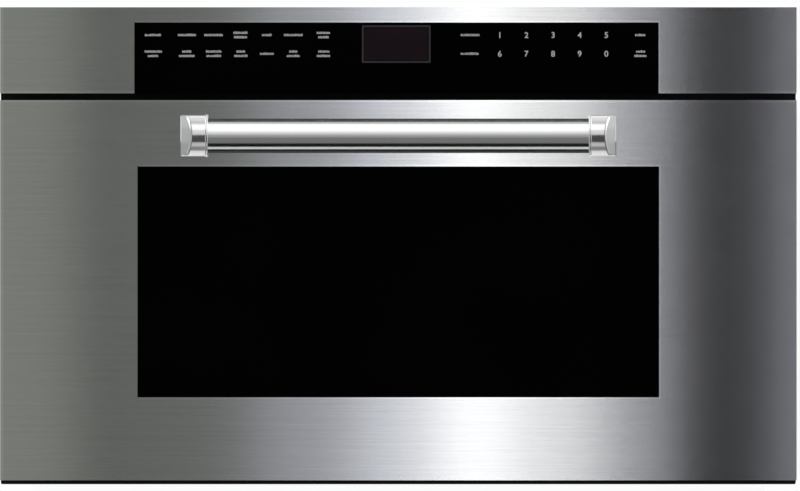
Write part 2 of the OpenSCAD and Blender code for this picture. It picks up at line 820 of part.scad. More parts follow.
module roller(n)
    color(pale) at_table() rotate([0, 0, n * 120]) translate([0, 0, axle_z])
        rotate([0, 90, 0]) difference() {
            translate([0, 0, collar_end + 0.5]) cylinder(r = roller_r, h = roller_w);
            translate([0, 0, collar_end]) cylinder(r = axle_r + run_gap, h = roller_w + 1);
        }

// Control panel

control_x = [control_shift - control_half, control_shift + control_half];
control_top = unit_h - control_drop;
display_z = control_top - display_drop;
board_t = 1.6;
board_back = glass_back + board_t;
board_in = 8;
panel_wall_back = board_back + carrier_wall;
lip_t = skin_t;

module fascia_skin()
    color(steel) difference() {
        union() {
            difference() {
                slab([-trim_half, trim_half], [0, front_depth], [panel_z, unit_h]);
                slab([-trim_half + skin_t, trim_half - skin_t], [skin_t, front_depth + 1],
                    [panel_z + skin_t, unit_h - skin_t]);
                slab([control_x[0] - lip_t, control_x[1] + lip_t], [skin_t, front_depth + 1],
                    [panel_z - 1, unit_h - skin_t]);
            }
            slab([control_x[0] - lip_t, control_x[1] + lip_t], [skin_t - slack, glass_back],
                [panel_z, control_top + lip_t]);
        }
        slab(control_x, [-1, glass_back + 1], [panel_z - 1, control_top]);
    }

module fascia_carrier()
    color(black) difference() {
        slab([-trim_half + skin_t, trim_half - skin_t], [skin_t, front_depth],
            [panel_z + skin_t, unit_h - skin_t]);
        slab([control_x[0] - lip_t, control_x[1] + lip_t], [0, glass_back],
            [panel_z - 1, control_top + lip_t]);
        slab([control_x[0] + board_in - fit_gap, control_x[1] - board_in + fit_gap],
            [glass_back - 1, board_back],
            [panel_z + board_in - fit_gap, control_top - board_in + fit_gap]);
        slab([-trim_half + skin_t + carrier_wall, trim_half - skin_t - carrier_wall],
            [panel_wall_back, front_depth + 1],
            [panel_z + skin_t + carrier_wall, unit_h - skin_t - carrier_wall]);
        slab([display_x - display_w / 2 - fit_gap, display_x + display_w / 2 + fit_gap],
            [glass_back - 1, panel_wall_back + 1],
            [display_z - display_h / 2 - fit_gap, display_z + display_h / 2 + fit_gap]);
    }

module control_glass()
    color(black) slab([control_x[0] + glass_gap, control_x[1] - glass_gap],
        [glass_recess, glass_back], [panel_z, control_top - glass_gap]);

module touch_board()
    color(board_green) difference() {
        slab([control_x[0] + board_in, control_x[1] - board_in], [glass_back, board_back],
            [panel_z + board_in, control_top - board_in]);
        slab([display_x - display_w / 2 - fit_gap, display_x + display_w / 2 + fit_gap],
            [glass_back - 1, board_back + 1],
            [display_z - display_h / 2 - fit_gap, display_z + display_h / 2 + fit_gap]);
    }

module display_module()
    color(black) slab([display_x - display_w / 2, display_x + display_w / 2],
        [glass_back, glass_back + 12], [display_z - display_h / 2, display_z + display_h / 2]);

standoff = 10;
standoff_r = 3;
board_edge = 14;
board_left = 130;
board_right = 110;
board_screw = 8;
relay_w = 24;
relay_h = 20;
relay_d = 16;
relay_pitch = 36;
supply_w = 48;
supply_h = 38;
supply_d = 34;

module control_board() {
    x = [-board_left, board_right];
    z = [cav_top + mouth_flange + board_edge, case_top - board_edge];
    face = frame_back + standoff + board_t;
    color(board_green) slab(x, [frame_back + standoff, face], z);
    color(zinc) for (s = x + [board_screw, -board_screw], h = z + [board_screw, -board_screw])
        rod_y(s, [frame_back, frame_back + standoff + slack], h, standoff_r);
    color(black) {
        slab([x[0] + board_edge, x[0] + board_edge + supply_w], [face - slack, face + supply_d],
            [z[0] + board_edge, z[0] + board_edge + supply_h]);
        for (n = [0 : 3])
            slab([x[0] + 2 * board_edge + supply_w + n * relay_pitch,
                x[0] + 2 * board_edge + supply_w + n * relay_pitch + relay_w],
                [face - slack, face + relay_d], [z[0] + board_edge, z[0] + board_edge + relay_h]);
    }
}

filter_in = 30;
filter_w = 70;
filter_half = 30;
filter_screw = 6;
filter_coil_r = 13;
filter_coil_t = 22;
filter_cap_w = 18;
filter_cap_h = 32;
filter_cap_t = 16;

module noise_filter() {
    back = case_end - 2 * sheet_t - fit_gap - standoff;
    face = back - board_t;
    x = [filter_in - case_in, filter_in + filter_w - case_in];
    z = [bush_z - filter_half, bush_z + filter_half];
    color(board_green) slab(x, [face, back], z);
    color(pale) {
        for (h = z + [filter_screw, -filter_screw], s = x + [filter_screw, -filter_screw])
            rod_y(s, [back - slack, case_end - sheet_t], h, standoff_r);
        rod_y(x[0] + filter_coil_r + filter_screw, [face - filter_coil_t, face + slack], bush_z,
            filter_coil_r);
        slab([x[1] - filter_cap_w - filter_screw, x[1] - filter_screw],
            [face - filter_cap_t, face + slack],
            [bush_z - filter_cap_h / 2, bush_z + filter_cap_h / 2]);
    }
}

module cord_bush()
    color(black) difference() {
        union() {
            rod_y(bush_x, [case_end, case_end + bush_out], bush_z, bush_r + 4);
            rod_y(bush_x, [case_end - sheet_t - 9, case_end + slack], bush_z, bush_r - hole_gap);
        }
        rod_y(bush_x, [case_end - 20, case_end + bush_out + 1], bush_z, cord_r);
    }

// Hinges: plates fixed in the case, channels and springs in the door

finger_low = door_back - inner_t - 0.6 - 4;
finger_top = pivot_z + 19;
hinge_len = 64;
hinge_h = 44;
hinge_back = frame_back + hinge_len;
hinge_top = base_top + hinge_h;

module hinge_plates()
    color(zinc) both_sides() difference() {
        union() {
            rod_x([hinge_x - plate_t / 2, hinge_x + plate_t / 2], pivot_d, pivot_z, eye_r);
            side_cut([hinge_x - plate_t / 2, hinge_x + plate_t / 2]) polygon([
                [pivot_d, hinge_arm_low], [frame_back, hinge_arm_low], [frame_back, base_top],
                [hinge_back, base_top], [hinge_back, base_top + 16],
                [frame_back + 20, hinge_top], [frame_back, hinge_top],
                [frame_back, pivot_z + eye_r], [finger_low + 4, pivot_z + eye_r],
                [finger_low + 4, finger_top], [finger_low, finger_top],
                [finger_low, pivot_z + eye_r - 2], [pivot_d, pivot_z + eye_r - 1]]);
            slab([hinge_x - 14, hinge_x + 14], [frame_back, frame_back + 3],
                [pivot_z + eye_r + 4, hinge_top]);
            slab([hinge_x - 14, hinge_x + 14], [frame_back + 10, hinge_back - 4],
                [base_top, base_top + 3]);
        }
        rod_x([hinge_x - plate_t, hinge_x + plate_t], pivot_d, pivot_z, pin_r + run_gap);
    }

ear_t = 1.5;
channel_front = 6;
channel_low = pivot_z + 12;
ear_r = pin_r + 3;

module hinge_pins()
    color(steel) both_sides()
        rod_x([hinge_x - channel_half - ear_t - 1, hinge_x + channel_half + ear_t + 1],
            pivot_d, pivot_z, pin_r);

module hinge_channels()
    color(zinc) both_sides() difference() {
        union() {
            for (s = [-1, 1]) {
                x = hinge_x + s * (channel_half + ear_t / 2);
                slab([x - ear_t / 2, x + ear_t / 2], [channel_front, door_back - inner_t],
                    [channel_low, channel_low + channel_len]);
                slab([x - ear_t / 2, x + ear_t / 2], [pivot_d - ear_r, pivot_d + ear_r],
                    [pivot_z, channel_low + slack]);
                rod_x([x - ear_t / 2, x + ear_t / 2], pivot_d, pivot_z, ear_r);
            }
            slab([hinge_x - channel_half - ear_t / 2, hinge_x + channel_half + ear_t / 2],
                [channel_front, channel_front + ear_t],
                [channel_low, channel_low + channel_len]);
            slab([hinge_x - channel_half - ear_t / 2, hinge_x + channel_half + ear_t / 2],
                [channel_front, door_back - inner_t],
                [channel_low + channel_len - ear_t, channel_low + channel_len]);
        }
        rod_x([hinge_x - channel_half - 3 * ear_t, hinge_x + channel_half + 3 * ear_t],
            pivot_d, pivot_z, pin_r + run_gap);
        rod_z(hinge_x, spring_d, [channel_low + channel_len - 5, channel_low + channel_len + 5],
            wire_r + run_gap);
    }

spring_d = (channel_front + door_back) / 2;
spring_low = finger_top + 26;
spring_high = channel_low + channel_len - 12;
coil_pitch = (spring_high - spring_low) / coils;

// Wound body of a spring: an even row of coils, each a ridge on the tube
module hinge_springs()
    color(steel) both_sides() translate([hinge_x, front_y + spring_d, 0]) {
        rotate_extrude() polygon(concat(
            [[coil_r - wire_r, spring_low]],
            [for (n = [0 : coils - 1], p = [[-0.5, 0], [1, 0.35], [1, 0.65], [-0.5, 1]])
                [coil_r + p[0] * wire_r, spring_low + (n + p[1]) * coil_pitch]],
            [[coil_r - wire_r, spring_high]]));
        translate([0, 0, spring_high - wire_r]) cylinder(r = coil_r, h = 2 * wire_r);
        translate([0, 0, spring_high]) cylinder(r = wire_r, h = 16);
        translate([0, 0, spring_high + 14]) cylinder(r = wire_r + 2, h = 2);
        translate([0, 0, spring_low - wire_r]) cylinder(r = coil_r, h = 2 * wire_r);
        translate([0, 0, finger_top + 2]) cylinder(r = wire_r, h = spring_low - finger_top - 2);
        translate([0, 0, finger_top + 2]) cylinder(r = wire_r + 2, h = 2);
    }

// Latch prongs on the door, and the switches that they press

prong_tip = door_back + prong_len;
switch_w = 10.3;
switch_h = 27.8;
switch_d = 15.9;
plunger_show = 0.5;
plunger_in = plunger_travel + 4;
switch_front = prong_tip + 0.2 + plunger_show;
bracket_t = 1.5;
bracket_half = switch_w + bracket_t;

// Sideways places of the three switches
switch_at = [prong_x - switch_w / 2 - 0.1, prong_x + switch_w / 2 + 0.1, -prong_x];

module latch_prongs()
    color(black) both_sides() {
        slab([prong_x - prong_w / 2, prong_x + prong_w / 2], [door_back - inner_t, prong_tip],
            [prong_z - prong_h / 2, prong_z + prong_h / 2]);
        slab([prong_x - prong_w / 2 - 5, prong_x + prong_w / 2 + 5],
            [door_back - inner_t - 4, door_back - inner_t],
            [prong_z - prong_h / 2 - 4, prong_z + prong_h / 2 + 4]);
    }

module latch_brackets()
    color(zinc) both_sides() {
        for (s = [-1, 1])
            slab([prong_x + s * (bracket_half) - bracket_t / 2,
                prong_x + s * (bracket_half) + bracket_t / 2],
                [frame_back, switch_front + switch_d + bracket_t],
                [prong_z - switch_h / 2, prong_z + switch_h / 2]);
        slab([prong_x - bracket_half, prong_x + bracket_half],
            [switch_front + switch_d, switch_front + switch_d + bracket_t],
            [prong_z - switch_h / 2, prong_z + switch_h / 2]);
    }

plunger_r = 1.6;

module interlock_switches()
    color(black) for (x = switch_at) difference() {
        slab([x - switch_w / 2, x + switch_w / 2], [switch_front, switch_front + switch_d],
            [prong_z - switch_h / 2, prong_z + switch_h / 2]);
        rod_y(x, [switch_front - 1, switch_front + plunger_in + 1], prong_z,
            plunger_r + run_gap);
    }

module switch_plunger(x)
    color(pale) rod_y(x, [switch_front - plunger_show, switch_front + plunger_in], prong_z,
        plunger_r);

// Door

frame_half = window_half + 10;
frame_low = window_z - 12;
frame_high = window_top + 12;
cover_front = door_back - cover_t;
ring_half = frame_half - inner_t - choke_w;
ring_low = frame_low + inner_t + choke_w;
ring_high = frame_high - inner_t - choke_w;
glass_front = cover_front - inner_glass_t;
choke_front = glass_front - choke_d;
view_in = 6;
cover_in = 20;
panel_low = pivot_z + 10;
hinge_notch = channel_half + 4;
// How far behind the pivot's front the lower lip may reach and still clear the frame
lip_back = sqrt(pow(pivot_in - fit_gap, 2) - pow(pivot_up, 2));

module door_skin()
    color(steel) difference() {
        union() {
            difference() {
                slab([-trim_half, trim_half], [0, door_back], [door_z, door_top]);
                slab([-trim_half + skin_t, trim_half - skin_t], [skin_t, door_back + 1],
                    [door_z + skin_t, door_top - skin_t]);
            }
            slab([-window_half - lip_t, window_half + lip_t], [skin_t - slack, glass_back],
                [window_z - lip_t, window_top + lip_t]);
        }
        slab([-trim_half - 1, trim_half + 1], [pivot_d - lip_back, door_back + 1],
            [door_z - 1, panel_low]);
        both_sides() slab([hinge_x - hinge_notch, hinge_x + hinge_notch],
            [pivot_d - 16, door_back + 1], [door_z - 1, door_z + skin_t + 1]);
        slab([-window_half, window_half], [-1, glass_back], [window_z, window_top]);
        both_sides() rod_y(cap_mid, [-1, skin_t + 1], handle_z, screw_r + hole_gap);
    }

module door_glass()
    color(black) slab([-window_half + glass_gap, window_half - glass_gap],
        [glass_recess, glass_back], [window_z + glass_gap, window_top - glass_gap]);

module door_frame()
    color(dark_steel) difference() {
        slab([-frame_half, frame_half], [glass_back, cover_front], [frame_low, frame_high]);
        slab([-frame_half + inner_t, frame_half - inner_t], [glass_back + inner_t, door_back],
            [frame_low + inner_t, frame_high - inner_t]);
        slab([-ring_half + view_in, ring_half - view_in], [glass_back - 1, glass_back + 2],
            [ring_low + view_in, ring_high - view_in]);
    }

module door_choke()
    color(zinc) difference() {
        union() {
            slab([-frame_half + inner_t, frame_half - inner_t], [choke_front - inner_t, choke_front],
                [frame_low + inner_t, frame_high - inner_t]);
            slab([-ring_half, ring_half], [choke_front - slack, glass_front],
                [ring_low, ring_high]);
        }
        slab([-ring_half + inner_t, ring_half - inner_t], [choke_front, glass_front + 1],
            [ring_low + inner_t, ring_high - inner_t]);
        slab([-ring_half + view_in, ring_half - view_in], [choke_front - 3, choke_front + 1],
            [ring_low + view_in, ring_high - view_in]);
    }

screen_t = 0.6;

module door_screen()
    color(dark_steel) slab([-ring_half + inner_t + fit_gap, ring_half - inner_t - fit_gap],
        [choke_front, choke_front + screen_t],
        [ring_low + inner_t + fit_gap, ring_high - inner_t - fit_gap]);

module door_inner_glass()
    color(glass) slab([-ring_half, ring_half], [glass_front, cover_front],
        [ring_low, ring_high]);

module choke_cover()
    color(black) difference() {
        slab([-frame_half, frame_half], [cover_front, door_back], [frame_low, frame_high]);
        slab([-ring_half + cover_in, ring_half - cover_in], [cover_front - 1, door_back + 1],
            [ring_low + cover_in, ring_high - cover_in]);
    }

module door_panel()
    color(dark_steel) difference() {
        slab([-trim_half + skin_t, trim_half - skin_t], [door_back - inner_t, door_back],
            [panel_low, door_top - skin_t]);
        slab([-frame_half - glass_gap, frame_half + glass_gap], [door_back - 3, door_back + 1],
            [frame_low - glass_gap, frame_high + glass_gap]);
        both_sides() {
            slab([hinge_x - slot_side - 2, hinge_x + slot_side + 2],
                [door_back - 3, door_back + 1], [panel_low - 1, finger_top + 8]);
            slab([prong_x - prong_w / 2, prong_x + prong_w / 2],
                [door_back - 3, door_back + 1],
                [prong_z - prong_h / 2, prong_z + prong_h / 2]);
        }
    }

// Handle

bar_half = trim_half - handle_side;
cap_end = bar_half + cap_w;
cap_mid = bar_half + cap_w / 2;
cap_bore_d = 22;

module handle_bar()
    color(steel) difference() {
        rod_x([-bar_half - socket_d + fit_gap, bar_half + socket_d - fit_gap], -handle_out,
            handle_z, bar_r);
        rod_x([-bar_half - socket_d, bar_half + socket_d], -handle_out, handle_z,
            bar_r - bar_wall);
    }

corner_z = cap_r - cap_corner;
crown_d = cap_crown - cap_r - handle_out;
corner_d = crown_d - sqrt(pow(cap_crown - cap_corner, 2) - pow(corner_z, 2));

// Outline of an end cap: a crowned front, rounded corners and sides straight back to the door
module cap_outline(rise) {
    crown_half = (cap_crown + rise) * corner_z / (cap_crown - cap_corner);
    for (s = [-1, 1])
        translate([corner_d, handle_z + s * corner_z]) circle(r = cap_corner + rise);
    intersection() {
        translate([crown_d, handle_z]) circle(r = cap_crown + rise);
        translate([-handle_reach - 1, handle_z - crown_half])
            square([handle_reach, 2 * crown_half]);
    }
    translate([corner_d, handle_z - cap_r - rise]) square([-corner_d, 2 * (cap_r + rise)]);
}

module handle_cap_right()
    color(chrome) difference() {
        union() {
            side_cut([bar_half, cap_end]) cap_outline(0);
            side_cut([bar_half, bar_half + ring_w]) cap_outline(ring_rise);
        }
        translate([cap_end, front_y - handle_out, handle_z - cap_r - 1])
            linear_extrude(2 * cap_r + 2)
                polygon([[0, 0], [-cap_slant * (cap_r + 5), -cap_r - 5], [5, -cap_r - 5], [5, 0]]);
        rod_x([bar_half - 1, bar_half + socket_d], -handle_out, handle_z, bar_r + run_gap);
        rod_y(cap_mid, [-cap_bore_d, 1], handle_z, screw_r + hole_gap / 2);
    }

module handle_cap_left()
    mirror([1, 0, 0]) handle_cap_right();

module handle_screws()
    color(zinc) both_sides() {
        rod_y(cap_mid, [2 - cap_bore_d, skin_t + slack], handle_z, screw_r);
        rod_y(cap_mid, [skin_t, skin_t + 3], handle_z, 2 * screw_r);
    }

front_frame();
case_base();
case_cover();
rear_cover();
feet();
case_screws();
cavity();
insulation();
waveguide();
waveguide_cover();
magnetron();
hv_transformer();
hv_capacitor();
blower_housing();
blower_motor();
blower_wheel();
lamp_housing();
lamp_bulb();
convection_housing();
heater_element();
convection_motor();
convection_fan();
fan_shaft();
turntable_motor();
drive_coupler();
turntable();
roller_ring();
roller(0);  // roller_1
roller(1);  // roller_2
roller(2);  // roller_3
fascia_skin();
fascia_carrier();
control_glass();
touch_board();
display_module();
control_board();
noise_filter();
cord_bush();
hinge_plates();
hinge_pins();
hinge_channels();
hinge_springs();
latch_brackets();
interlock_switches();
switch_plunger(switch_at[0]);  // switch_plunger_1
switch_plunger(switch_at[1]);  // switch_plunger_2
switch_plunger(switch_at[2]);  // switch_plunger_3
latch_prongs();
door_skin();
door_glass();
door_frame();
door_choke();
door_screen();
door_inner_glass();
choke_cover();
door_panel();
handle_bar();
handle_cap_left();
handle_cap_right();
handle_screws();
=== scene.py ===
import math
import random

import bmesh
import bpy
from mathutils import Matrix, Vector


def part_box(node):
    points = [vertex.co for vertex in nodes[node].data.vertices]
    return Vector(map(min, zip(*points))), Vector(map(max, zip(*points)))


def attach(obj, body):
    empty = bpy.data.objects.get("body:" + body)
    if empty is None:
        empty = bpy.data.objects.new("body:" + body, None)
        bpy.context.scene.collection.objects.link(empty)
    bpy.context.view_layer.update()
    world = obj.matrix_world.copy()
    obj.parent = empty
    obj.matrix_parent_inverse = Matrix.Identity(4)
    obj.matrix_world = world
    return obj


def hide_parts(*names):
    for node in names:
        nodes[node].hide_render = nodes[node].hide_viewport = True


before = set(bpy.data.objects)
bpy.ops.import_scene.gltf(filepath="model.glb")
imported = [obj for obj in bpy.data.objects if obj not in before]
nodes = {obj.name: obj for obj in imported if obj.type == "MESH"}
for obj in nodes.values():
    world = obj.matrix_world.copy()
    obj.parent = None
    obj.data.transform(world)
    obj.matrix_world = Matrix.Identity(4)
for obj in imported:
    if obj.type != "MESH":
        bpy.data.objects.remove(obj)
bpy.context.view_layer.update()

scene = bpy.context.scene
scene.view_settings.view_transform = "Standard"

FRONT = -0.2506          # the door's front face, in depth
MIDDLE = 0.227           # half the object's height
PX = 0.0009528           # a pixel of the photograph at the front face, in metres
PICTURE_W = 800          # the photograph's width in pixels
AXIS_X, FOOT_Y = 398.3, 483.7   # the object's middle and its foot in the photograph, in pixels


def px(x, y):
    """X and Z of a place in the photograph, in metres."""
    return (x - AXIS_X) * PX, (FOOT_Y - y) * PX


# ---------------------------------------------------------------- camera

# A long lens far off, because the photograph shows no perspective
LENS, SENSOR = 950.0, 36.0
CLIP_END = 50.0          # well beyond the object, in metres
distance = PICTURE_W * PX * LENS / SENSOR
cam_data = bpy.data.cameras.new("camera")
cam_data.lens = LENS
cam_data.sensor_width = SENSOR
cam_data.clip_end = CLIP_END
camera = bpy.data.objects.new("camera", cam_data)
scene.collection.objects.link(camera)
camera.location = ((PICTURE_W / 2 - AXIS_X) * PX, FRONT - distance, MIDDLE)
camera.rotation_euler = (math.pi / 2, 0, 0)
scene.camera = camera

# ---------------------------------------------------------------- node helpers


def add(tree, kind, inputs=None, **settings):
    """A node with its settings and its inputs, each a value or another node's output."""
    n = tree.nodes.new(kind)
    for key, value in settings.items():
        setattr(n, key, value)
    for key, value in (inputs or {}).items():
        socket = n.inputs[key]
        if isinstance(value, bpy.types.NodeSocket):
            tree.links.new(value, socket)
        else:
            socket.default_value = value
    return n


def maths(tree, op, a, b=0.0, clamp=False):
    return add(tree, "ShaderNodeMath", {0: a, 1: b}, operation=op, use_clamp=clamp).outputs[0]


def smooth(tree, value, low, high):
    """0 below low and 1 above high, with a soft step between them."""
    n = add(tree, "ShaderNodeMapRange", {0: value, 1: low, 2: high, 3: 0.0, 4: 1.0},
            interpolation_type="SMOOTHSTEP")
    return n.outputs[0]


def scaled(tree, vector, scale):
    return add(tree, "ShaderNodeVectorMath", {0: vector, 1: scale},
               operation="MULTIPLY").outputs[0]


def noise(tree, vector, scale, detail=2.0, rough=0.5):
    return add(tree, "ShaderNodeTexNoise",
               {"Vector": vector, "Scale": scale, "Detail": detail, "Roughness": rough},
               ).outputs["Fac"]


def span(tree, value, low, high, out_low, out_high):
    return add(tree, "ShaderNodeMapRange",
               {0: value, 1: low, 2: high, 3: out_low, 4: out_high}).outputs[0]


def mix(tree, factor, a, b):
    n = add(tree, "ShaderNodeMix", data_type="RGBA")
    for key, value in ((0, factor), (6, a), (7, b)):
        if isinstance(value, bpy.types.NodeSocket):
            tree.links.new(value, n.inputs[key])
        else:
            n.inputs[key].default_value = value
    return n.outputs[2]


def rgb(r, g=None, b=None):
    return (r, r if g is None else g, r if b is None else b, 1.0)


class Surface:
    """A material with a Principled shader, its object coordinates and its normal."""

    def __init__(self, name, metal=0.0, rough=0.5, **constants):
        self.mat = bpy.data.materials.new(name)
        self.mat.use_nodes = True
        self.tree = self.mat.node_tree
        self.shader = self.tree.nodes["Principled BSDF"]
        self.shader.inputs["Metallic"].default_value = metal
        self.shader.inputs["Roughness"].default_value = rough
        for key, value in constants.items():
            self.shader.inputs[key.replace("_", " ")].default_value = value
        coords = add(self.tree, "ShaderNodeTexCoord")
        self.place = coords.outputs["Object"]
        self.facing = coords.outputs["Normal"]

    def set(self, key, value):
        self.tree.links.new(value, self.shader.inputs[key])

    def bump(self, height, strength, depth):
        n = add(self.tree, "ShaderNodeBump", {"Height": height, "Strength": strength,
                                               "Distance": depth})
        self.tree.links.new(n.outputs[0], self.shader.inputs["Normal"])


def brushed(name, color, rough, aniso, grain=1.0, along=(5.0, 5.0, 900.0)):
    """Metal with a fine linear grain; along gives the grain's frequencies per metre."""
    s = Surface(name, metal=1.0, rough=rough, Anisotropic=aniso)
    t = s.tree
    axes = add(t, "ShaderNodeSeparateXYZ", {0: s.facing}).outputs
    flat = maths(t, "GREATER_THAN", maths(t, "ABSOLUTE", axes[2]), 0.7)
    across = scaled(t, s.place, along)
    lying = scaled(t, s.place, (along[0], along[2], along[1]))
    where = add(t, "ShaderNodeMix", {0: flat, 4: across, 5: lying}, data_type="VECTOR").outputs[1]
    coarse = noise(t, where, 1.0, 3.0, 0.65)
    fine = noise(t, where, 3.1, 2.0, 0.6)
    both = maths(t, "ADD", maths(t, "MULTIPLY", coarse, 0.6), maths(t, "MULTIPLY", fine, 0.4))
    low = tuple(c * (1 - 0.10 * grain) for c in color[:3]) + (1.0,)
    high = tuple(min(1.0, c * (1 + 0.10 * grain)) for c in color[:3]) + (1.0,)
    s.set("Base Color", mix(t, smooth(t, both, 0.3, 0.7), low, high))
    s.set("Roughness", span(t, both, 0.25, 0.75, rough * 0.93, rough * 1.07))
    s.bump(both, 0.12 * grain, 0.0002)
    return s


def cast(name, color, metal, rough, spread=0.06, scale=60.0, bump=0.05, depth=0.0003,
         **constants):
    """A surface whose colour, gloss and height vary a little with noise."""
    s = Surface(name, metal=metal, rough=rough, **constants)
    t = s.tree
    wide = noise(t, s.place, scale, 3.0)
    fine = noise(t, s.place, scale * 9, 2.0)
    low = tuple(c * (1 - spread) for c in color[:3]) + (1.0,)
    high = tuple(min(1.0, c * (1 + spread)) for c in color[:3]) + (1.0,)
    s.set("Base Color", mix(t, smooth(t, wide, 0.3, 0.7), low, high))
    s.set("Roughness", span(t, fine, 0.3, 0.7, rough * 0.88, min(1.0, rough * 1.12)))
    if bump:
        s.bump(fine, bump, depth)
    return s


# ---------------------------------------------------------------- materials

door_steel = brushed("brushed_steel", rgb(0.66, 0.665, 0.67), 0.235, 0.83, grain=0.6,
                     along=(7.0, 7.0, 1300.0))
tangent = add(door_steel.tree, "ShaderNodeTangent", direction_type="RADIAL", axis="Z")
door_steel.set("Tangent", tangent.outputs[0])
door_steel.shader.inputs["Anisotropic Rotation"].default_value = 0.25


def near_edge(tree, axes, x0, x1, z0, z1, reach):
    """1 at a rectangle's edge and inside it, 0 from this reach outside it."""
    across = maths(tree, "MAXIMUM", maths(tree, "SUBTRACT", x0, axes[0]),
                   maths(tree, "SUBTRACT", axes[0], x1))
    up = maths(tree, "MAXIMUM", maths(tree, "SUBTRACT", z0, axes[2]),
               maths(tree, "SUBTRACT", axes[2], z1))
    return smooth(tree, maths(tree, "MAXIMUM", across, up), reach, reach * 0.4)


# Painted highlight: the steel's base colour is lightened in a thin line beside the panes, the
# seam and the left side, but not at the left of the panes, to stand in for the light that the
# sheet's edges catch
NO_LINE, LINE, SEAM_LINE, SIDE_LINE = 0.003, 0.0026, 0.0028, 0.0040
FAR = 1.0
window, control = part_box("door_glass"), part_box("control_glass")
door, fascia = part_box("door_skin"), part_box("fascia_skin")
t = door_steel.tree
axes = add(t, "ShaderNodeSeparateXYZ", {0: door_steel.place}).outputs
painted_edge_highlight = near_edge(t, axes, window[0].x + NO_LINE, window[1].x, window[0].z, window[1].z, LINE)
for x0, x1, z0, z1, reach in (
        (control[0].x + NO_LINE, control[1].x, control[0].z, control[1].z, LINE),
        (-FAR, FAR, door[1].z, fascia[0].z, SEAM_LINE), (-FAR, door[0].x, 0.0, FAR, SIDE_LINE)):
    painted_edge_highlight = maths(t, "MAXIMUM", painted_edge_highlight, near_edge(t, axes, x0, x1, z0, z1, reach))
# painted highlight: the base colour is raised up to 1.19 times along these edge lines
highlighted_color = add(t, "ShaderNodeVectorMath",
              {0: door_steel.shader.inputs["Base Color"].links[0].from_socket,
               "Scale": span(t, painted_edge_highlight, 0.0, 1.0, 1.0, 1.19)}, operation="SCALE").outputs[0]
door_steel.set("Base Color", highlighted_color)

bar_steel = brushed("handle_steel", rgb(0.80, 0.805, 0.81), 0.20, 0.0, grain=0.25,
                    along=(4.0, 1200.0, 1200.0))
cap_chrome = cast("cap_chrome", rgb(0.83, 0.83, 0.835), 1.0, 0.17, spread=0.02, scale=40.0,
                  bump=0.02)

black_glass = cast("black_glass", rgb(0.0006, 0.0006, 0.0007), 0.0, 0.035, spread=0.3,
                   scale=9.0, bump=0.0, IOR=1.5)
black_steel = cast("black_steel", rgb(0.0022, 0.0022, 0.0024), 0.0, 0.55, spread=0.12,
                   scale=160.0, bump=0.15, depth=0.0004)
door_enamel = cast("black_enamel", rgb(0.035, 0.036, 0.038), 0.0, 0.35, spread=0.1,
                   scale=120.0, bump=0.08, depth=0.0003)
black_plastic = cast("black_plastic", rgb(0.022, 0.022, 0.023), 0.0, 0.5, spread=0.1,
                     scale=220.0, bump=0.12, depth=0.0003)
pale_plastic = cast("pale_plastic", rgb(0.72, 0.70, 0.64), 0.0, 0.42, spread=0.04,
                    scale=110.0, bump=0.06)
foot_rubber = cast("foot_rubber", rgb(0.03, 0.03, 0.03), 0.0, 0.8, spread=0.15,
                   scale=300.0, bump=0.3, depth=0.0005)
screw_steel = cast("screw_steel", rgb(0.62, 0.62, 0.61), 1.0, 0.3, spread=0.06,
                   scale=400.0, bump=0.08)
spring_steel = cast("spring_steel", rgb(0.42, 0.42, 0.43), 1.0, 0.34, spread=0.1, scale=300.0)
core_steel = cast("core_steel", rgb(0.12, 0.12, 0.13), 0.8, 0.5, spread=0.2, scale=150.0,
                  bump=0.2)
heater_steel = cast("heater_steel", rgb(0.16, 0.145, 0.14), 0.7, 0.45, spread=0.25,
                    scale=90.0, bump=0.1)
mica = cast("mica", rgb(0.66, 0.62, 0.5), 0.0, 0.45, spread=0.12, scale=350.0, bump=0.2)
light_alloy = brushed("light_alloy", rgb(0.68, 0.69, 0.7), 0.35, 0.0, grain=0.8,
                      along=(300.0, 20.0, 300.0))

# Zinc-coated sheet: flat crystals of slightly different grey
galvanised = Surface("galvanised", metal=1.0, rough=0.4)
t = galvanised.tree
warp = add(t, "ShaderNodeTexNoise", {"Vector": galvanised.place, "Scale": 40.0})
bent = add(t, "ShaderNodeVectorMath",
           {0: galvanised.place, 1: scaled(t, warp.outputs["Color"], (0.02, 0.02, 0.02))},
           operation="ADD").outputs[0]
cells = add(t, "ShaderNodeTexVoronoi", {"Vector": bent, "Scale": 130.0})
tone = add(t, "ShaderNodeSeparateColor", {0: cells.outputs["Color"]}).outputs
galvanised.set("Base Color", mix(t, tone[0], rgb(0.50, 0.51, 0.52), rgb(0.565, 0.575, 0.58)))
galvanised.set("Roughness", span(t, tone[1], 0.0, 1.0, 0.36, 0.44))
galvanised.bump(noise(t, galvanised.place, 500.0), 0.06, 0.0003)

# Speckled grey enamel of the cooking space
cavity_enamel = Surface("cavity_enamel", rough=0.28)
t = cavity_enamel.tree
specks = add(t, "ShaderNodeTexVoronoi", {"Vector": cavity_enamel.place, "Scale": 420.0})
tone = add(t, "ShaderNodeSeparateColor", {0: specks.outputs["Color"]}).outputs
dots = maths(t, "MULTIPLY", maths(t, "LESS_THAN", specks.outputs["Distance"], 0.3),
             maths(t, "GREATER_THAN", tone[0], 0.62))
ground = mix(t, noise(t, cavity_enamel.place, 30.0), rgb(0.33, 0.335, 0.34),
             rgb(0.40, 0.405, 0.41))
cavity_enamel.set("Base Color", mix(t, dots, ground, rgb(0.12, 0.12, 0.125)))
cavity_enamel.set("Roughness", span(t, noise(t, cavity_enamel.place, 260.0), 0.3, 0.7,
                                    0.22, 0.36))
cavity_enamel.bump(noise(t, cavity_enamel.place, 240.0), 0.08, 0.0004)

